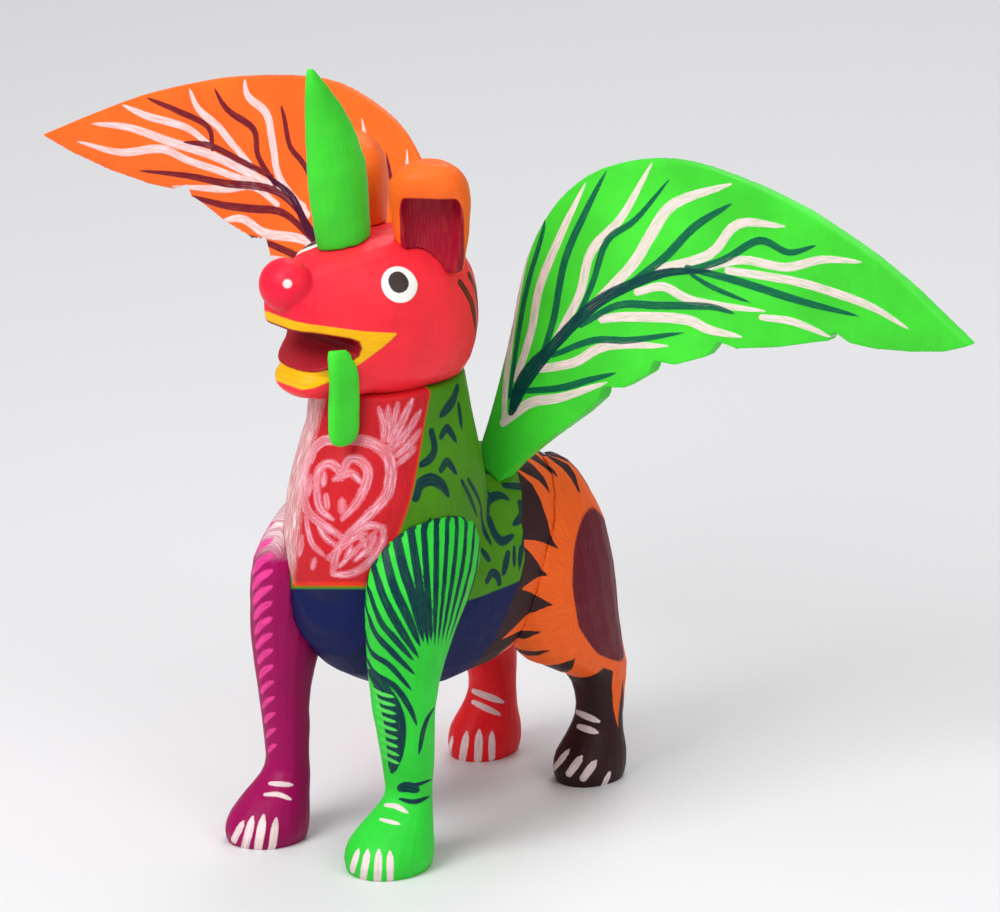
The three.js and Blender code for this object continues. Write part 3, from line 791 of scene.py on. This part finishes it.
def torso():
    """The trunk: olive with dark marks, navy belly, red chest panel with a heart, and some haunch paint."""
    piece = carving("torso", voxel=0.65, swell=0.12, smooth=8)
    move_along_normals(piece, 0.14 * ripple(coordinates(piece), wavelength=16, seed=8))
    painter = Painter(piece)
    x, y, z = painter.points.T
    around = np.degrees(np.arctan2(x / TRUNK_HALF[0], (TRUNK_MIDDLE_Y - y) / TRUNK_HALF[1]))
    sideways = (np.abs(around) - np.interp(z, *PANEL_EDGE)) * CHEST_MM_PER_DEGREE
    across = painter.points @ view_axes(*VIEW)[0]
    height = painter.points @ view_axes(*VIEW)[1]
    front = np.clip((BREAST[0] - y) / BREAST[1], 0, 1)
    belly = painter.layer("belly")
    belly.merge(front * (height - CHEST_FOOT + BELLY_DROP) + (1 - front) * (z - WATERLINE))
    rim = painter.layer("rim")
    rim.merge(np.maximum(sideways, CHEST_FOOT - height))
    hairs = around * HAIRS_PER_DEGREE
    panel = painter.layer("panel")
    inner = np.maximum(sideways + RIM_WIDTH[0], CHEST_FOOT + RIM_WIDTH[1] - height)
    panel.merge(inner, hairs, z)
    band = painter.layer("band")
    band.merge(np.maximum(across - np.interp(height, *BAND_EDGE), panel.distance), hairs, z)
    heart = painter.layer("heart")
    for control, width in CHEST_HEART + CHEST_DASHES:
        painter.stroke(heart, control, width * HEART_WIDER, start=0.6, end=0.4)
    marks = painter.layer("marks")
    for azimuth, flip, slide in MARK_VIEWS:
        for control, width in FLANK_MARKS:
            turned = [(h * flip + slide, w) for h, w in control]
            view = (azimuth, VIEW[1])
            painter.stroke(marks, turned, width * MARK_WIDER, start=0.8, end=0.15, view=view)
    marks.distance = np.maximum(marks.distance, np.maximum(0.4 - sideways, MARKS_FOOT - z))
    haunch = painter.layer("haunch")
    haunch.merge(np.maximum(np.interp(z, *HAUNCH_EDGE) - y, HAUNCH_INSIDE - x))
    petals = sun_layer(painter)
    petals.distance = np.maximum(petals.distance, haunch.distance)
    painter.finish()
    coats = [
        Coat("belly", NAVY, soft=0.3),
        Coat("rim", RIM_RED, soft=0.4),
        Coat("panel", CHEST_RED, soft=0.5),
        Coat("band", PINK_WHITE, dry=0.6, soft=1.2, wobble=2.0),
        Coat("heart", PINK, dry=0.6, soft=0.4, wobble=0.9),
        Coat("marks", DEEP_TEAL, dry=0.15, soft=0.2),
        Coat("haunch", UMBER),
        Coat("petals", SUN_ORANGE, dry=0.05),
    ]
    place(piece, "torso", "figure", painted_wood("torso_paint", OLIVE, coats, gloss=0.5))


# ---- legs ----
# Strokes as (points, width), right and up in millimetres as the main view sees them.
FRONT_STRIPES = [
    ([(-22.5, 52), (-18.5, 43.5), (-12, 39), (-7.5, 32.5), (-5, 26.5)], 2.2),
    ([(-22.5, 60), (-19.5, 50), (-13.5, 45.5), (-6.5, 37.5)], 2.2),
    ([(-22, 67.5), (-18.5, 56.5), (-13, 50), (-5.5, 42.5)], 2.4),
    ([(-21.5, 74), (-17, 60.5), (-12, 54), (-6, 47)], 2.4),
    ([(-19.5, 79.5), (-15.5, 67), (-10.5, 57.5), (-4.5, 48)], 2.8),
    ([(-16, 85), (-12.5, 71), (-8, 61), (-4, 51.5)], 3.0),
    ([(-12.5, 91), (-9.5, 77), (-6, 66), (-3, 53)], 3.4),
    ([(-8, 95), (-6, 81.5), (-4, 69), (-1.5, 52)], 3.0),
    ([(-3.5, 98), (-2.5, 81.5), (-1.5, 66), (-0.5, 53)], 2.6),
    ([(1, 98), (1, 78.5), (0.5, 52)], 2.4),
    ([(4.5, 98), (4, 78.5), (1.5, 51.5)], 2.0),
    ([(7.5, 97), (6.8, 78.5), (2.5, 51.5)], 2.0),
    ([(10.5, 94), (9.3, 77), (3.6, 52)], 2.0),
    ([(13, 90), (11.3, 74.5), (4.6, 52)], 1.8),
    ([(14.8, 85), (12.8, 72), (6, 53)], 1.8),
    ([(16.2, 79), (13.6, 67), (7.4, 54.5)], 1.6),
    ([(16.5, 72), (13.6, 63), (9, 56)], 1.6),
]
FRONT_LEAF = [
    ([(-20.5, 44), (-15.5, 37), (-12.5, 29), (-12, 20), (-13, 12)], 7.6),
    ([(0.5, 32.5), (-2.5, 27), (-4.5, 17.5)], 2.2),
    ([(-11, 6.5), (-8, 7.2), (-4.5, 6)], 3.8),
    ([(-9, 8), (-5, 8), (-0.5, 9.5)], 1.5),
    ([(-11, 3.6), (-6, 2.5), (-1, 4.2)], 1.7),
]
# Claws as (foot of the claw, its tip, width).
CLAWS = {
    "front_left_leg": [
        ((-25.5, -19), (-23.5, -12.5), 2.6),
        ((-22, -21.5), (-20.5, -12.5), 2.6),
        ((-17.5, -22.5), (-17, -12.5), 2.6),
        ((-13.5, -22), (-13.5, -13), 2.4),
    ],
    "front_right_leg": [
        ((-63, -10), (-60, -4), 2.6),
        ((-59.5, -12.5), (-57, -2.5), 2.8),
        ((-55.5, -13.5), (-53.5, -2), 2.8),
        ((-51, -13.5), (-49.5, -3), 2.6),
    ],
    "rear_left_leg": [
        ((38.5, 12.5), (43, 18), 2.6),
        ((43, 10.5), (47, 16), 2.6),
        ((47.5, 9), (51.5, 14.5), 2.6),
        ((54, 6.5), (56, 11), 2.4),
    ],
    "rear_right_leg": [
        ((4.5, 15.5), (6, 22), 2.4),
        ((9, 14.5), (10.5, 23.5), 2.6),
        ((14, 14.5), (14.5, 24), 2.6),
        ((18.5, 15), (18.5, 23.5), 2.4),
    ],
}
ANKLES = {
    "front_left_leg": [([(-15, 1.5), (-11.5, 1), (-8, -1)], 1.8), ([(-16.5, -3), (-10.5, -4.5)], 1.6)],
    "front_right_leg": [([(-51.5, 8), (-44.5, 7.5)], 1.9), ([(-53, 4.5), (-49, 4.5), (-45, 3)], 1.9)],
    "rear_left_leg": [([(45.5, 30), (52.5, 27)], 2.2), ([(46, 25.5), (52, 23.5)], 2.2)],
    "rear_right_leg": [([(12.5, 36.5), (22, 33)], 2.2), ([(12.5, 33), (21, 29)], 2.0)],
}


def leg(node, base, pattern, coats):
    """One leg with its pattern, the ankle strokes and the claws."""
    piece = carving(node, voxel=0.55, swell=0.28, smooth=4, thicken=0.9)
    move_along_normals(piece, 0.14 * ripple(coordinates(piece), wavelength=13, seed=len(node)))
    painter = Painter(piece)
    pattern(painter)
    white = painter.layer("white")
    for control, width in ANKLES[node]:
        painter.stroke(white, control, width, start=0.7, end=0.4)
    for foot, tip, width in CLAWS[node]:
        painter.stroke(white, [foot, tip], width, start=0.9, end=0.3)
    painter.finish()
    coats = [*coats, Coat("white", PINK_WHITE, dry=0.15)]
    place(piece, node, "figure", painted_wood(node + "_paint", base, coats))


RIBS = 9
TOP_RIB = np.array([-18.6, 38])  # its foot
RIBS_LEAN = np.array([3, -21])  # from the top rib to the lowest


def fan_and_leaf(painter):
    """The fan of dark stripes on the shoulder, and the dark leaf with light ribs below it."""
    stripes = painter.layer("stripes")
    for control, width in FRONT_STRIPES:
        painter.stroke(stripes, control, width, start=0.8, end=0.1)
    for control, width in FRONT_LEAF:
        painter.stroke(stripes, control, width, start=0.2, end=0.2)
    ribs = painter.layer("ribs")
    for i in range(RIBS):
        t = i / (RIBS - 1)
        h, w = TOP_RIB + RIBS_LEAN * t
        rib = [(h, w), (h + 2.5, w - 1.4), (h + 6.5 - 1.5 * t, w - 2.4)]
        painter.stroke(ribs, rib, width=1.5, start=0.9, end=0.3)


HAZE_FOOT = 82  # the pale shoulder begins this high, as the main view sees it
HAZE_BACK = -32  # and ends here in y
FERNS = 15
FERN_LINE = {"right": -52, "bow": -5, "foot": 18, "rise": 66}  # the leg's outer edge
FERN_REACH = (2.6, 4.6)  # of the lowest fern, and how much more at the top


def fronds(painter):
    """A pale shoulder, and hot pink fern strokes up the outer edge of the leg, larger upwards."""
    haze = painter.layer("haze")
    height = painter.points @ view_axes(*VIEW)[1]
    x, y, z = painter.points.T
    haze.merge(np.maximum(HAZE_FOOT - height, y - HAZE_BACK), y, z)
    ferns = painter.layer("ferns")
    for i in range(FERNS):
        t = i / (FERNS - 1)
        h = FERN_LINE["right"] + FERN_LINE["bow"] * math.sin(0.5 * math.pi * t)
        w = FERN_LINE["foot"] + FERN_LINE["rise"] * t
        reach = FERN_REACH[0] + FERN_REACH[1] * t
        sweep = [(h, w), (h + 0.35 * reach, w + 0.5 * reach), (h + reach, w + 0.9 * reach)]
        painter.stroke(ferns, sweep, width=1.5 + 1.5 * t, start=0.7, end=0.2)


# The haunch's sections: height, middle x and y, half width and half length.
HAUNCH = np.array([
    [28, 21.5, 59, 7.4, 8],
    [37, 21.8, 56, 8.6, 11.6],
    [46, 21, 45.6, 11.2, 19.6],
    [58, 20, 39.4, 12.8, 24.8],
    [72, 18.8, 37.4, 13.2, 25.8],
    [86, 17.4, 37.4, 12, 23.4],
    [98, 15, 39, 9.2, 17],
    [105, 12.8, 42, 5, 10],
])
# The sunflower's middle, and the half sizes of its disc and of the ring that the petals grow from.
SUN = {"across": 8, "up": 66, "disc": (15, 26.5), "ring": (21, 32)}
# The petals' tips from the middle of the flower, backward and up, on the rolled-out haunch.
PETAL_TIPS = [
    (-27, 44), (-37, 26), (-36, 10), (-43, -6), (-41, -17), (-36, -26), (-24, -35), (-8, -49),
    (6, -46), (20, -40), (34, -28), (41, -12), (42, 5), (40, 22), (34, 38), (20, 44), (6, 46),
    (-11, 48), (-19, 47),
]
PETAL_FOOT = 0.95  # of the ring
PETAL_LEAN = 0.05
PETAL_HALF_WIDTHS = (5.4, 0.2)  # at the foot and at the tip
HAUNCH_MM_PER_DEGREE = 0.345
HAUNCH_EDGE = ((56, 64, 78, 85, 97, 109), (-2, 0, 7.5, 11, 13, 23))  # heights, and its paint's front in y


def sun_plane(points):
    """The haunch's surface rolled out flat round the middle of the sunflower."""
    x, y, z = points.T
    middle_x, middle_y, half_x, half_y = (np.interp(z, HAUNCH[:, 0], HAUNCH[:, i]) for i in range(1, 5))
    around = np.degrees(np.arctan2((y - middle_y) / half_y, (x - middle_x) / half_x))
    along = np.where(around < 0, y - middle_y, around * HAUNCH_MM_PER_DEGREE)
    return np.stack([along - SUN["across"], z - SUN["up"]], 1)


def sun_layer(painter):
    """The petals of an orange sunflower, wrapped round the haunch."""
    flat = sun_plane(painter.points)
    petals = painter.layer("petals")
    petals.merge((np.linalg.norm(flat / SUN["ring"], axis=1) - 1) * SUN["ring"][0], flat[:, 0], flat[:, 1])
    for tip in np.array(PETAL_TIPS, float):
        foot = tip / np.linalg.norm(tip / SUN["ring"]) * PETAL_FOOT
        lean = np.array([foot[1], -foot[0]]) * PETAL_LEAN
        line = curve([foot, (foot + tip) / 2 + lean, tip])
        petals.line(line, np.linspace(*PETAL_HALF_WIDTHS, len(line)), flat)
    return petals


def sunflower(painter):
    """The petals and the wine disc within them."""
    sun_layer(painter)
    flat = sun_plane(painter.points)
    disc = painter.layer("disc")
    disc.merge((np.linalg.norm(flat / SUN["disc"], axis=1) - 1) * SUN["disc"][0], flat[:, 0], flat[:, 1])


def bare(painter):
    """The red leg has no pattern above the ankle."""


# ---- stage ----
def stage():
    """A wide pale floor with a very faint speckle."""
    bpy.ops.mesh.primitive_plane_add(size=16)
    floor = bpy.context.object
    floor.name = "floor"
    g = Graph("floor_paint")
    speckle = g.noise(g.object, scale=900, detail=2)
    pale = g.mix(g.ramp(speckle, 0.3, 0.7), *FLOOR_GREYS)
    g.join(pale, g.shader.inputs["Base Color"])
    g.shader.inputs["Roughness"].default_value = 0.5
    floor.data.materials.append(g.material)


def soft_light(name, azimuth, elevation, distance, size, power):
    """A round area lamp of that size in metres and power in watts, aimed at the figure."""
    aim = metres(LIGHT_AIM)
    out = view_axes(azimuth, elevation)[2]
    lamp = bpy.data.lights.new(name, "AREA")
    lamp.shape = "DISK"
    lamp.size = size
    lamp.energy = power
    holder = bpy.data.objects.new(name, lamp)
    bpy.context.scene.collection.objects.link(holder)
    holder.location = aim + Vector(out) * distance
    holder.rotation_euler = Vector(out).to_track_quat("Z", "Y").to_euler()


def studio():
    """Plain soft light from four sides and a grey surround."""
    soft_light("key", -8, 42, 1.3, 0.7, 11)
    soft_light("fill", 75, 30, 1.5, 1.1, 5)
    soft_light("top", 20, 80, 1.4, 1.0, 6)
    soft_light("rim", 200, 45, 1.5, 0.8, 6)
    world = bpy.data.worlds.new("studio")
    world.use_nodes = True
    background = world.node_tree.nodes["Background"]
    background.inputs["Color"].default_value = STUDIO_GREY
    background.inputs["Strength"].default_value = 0.42
    bpy.context.scene.world = world
    bpy.context.scene.view_settings.view_transform = "Standard"


def camera():
    """A long lens far away, aimed at the middle of the picture."""
    aim = metres(VIEW_AIM)
    out = Vector(view_axes(*VIEW)[2])
    data = bpy.data.cameras.new("camera")
    data.lens = VIEW_LENS
    data.sensor_width = VIEW_SENSOR
    data.clip_end = VIEW_END
    holder = bpy.data.objects.new("camera", data)
    bpy.context.scene.collection.objects.link(holder)
    holder.location = aim + out * VIEW_DISTANCE
    holder.rotation_euler = out.to_track_quat("Z", "Y").to_euler()
    bpy.context.scene.camera = holder


camera()
studio()
stage()
head()
torso()
ear("left_ear", 1)
ear("right_ear", -1)
plain("horn", 0.6, GREEN)
plain("tongue", 0.4, GREEN, wave=0.1)
plain("tail", 0.6, OLIVE)
leg("front_left_leg", LEG_GREEN, fan_and_leaf, [
    Coat("stripes", DEEP_TEAL, dry=0.1, soft=0.16),
    Coat("ribs", RIB_GREEN, dry=0.2),
])
leg("front_right_leg", MAGENTA, fronds, [
    Coat("haze", PINK_WHITE, dry=0.5, soft=4, wobble=3.0),
    Coat("ferns", HOT_PINK, dry=0.3, soft=0.25),
])
leg("rear_left_leg", UMBER, sunflower, [
    Coat("petals", SUN_ORANGE, dry=0.05),
    Coat("disc", SUN_WINE, dry=0.1, soft=0.3, wobble=0.9),
])
leg("rear_right_leg", LEG_RED, bare, [])
wing(
    "left_wing", "left_wing", 1, GREEN,
    (LEFT_WING_LIGHT, LEFT_WING_DARK, LEFT_WING_VEIN), (PINK_WHITE, BRANCH_TEAL, TEAL),
)
wing(
    "right_wing", "right_wing", -1, ORANGE,
    (RIGHT_WING_LIGHT, RIGHT_WING_DARK, RIGHT_WING_VEIN), (PINK_WHITE, BRANCH_WINE, VEIN_WINE),
)
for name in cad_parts:
    if name.endswith(("dowel", "peg")):
        bare_dowel(name)
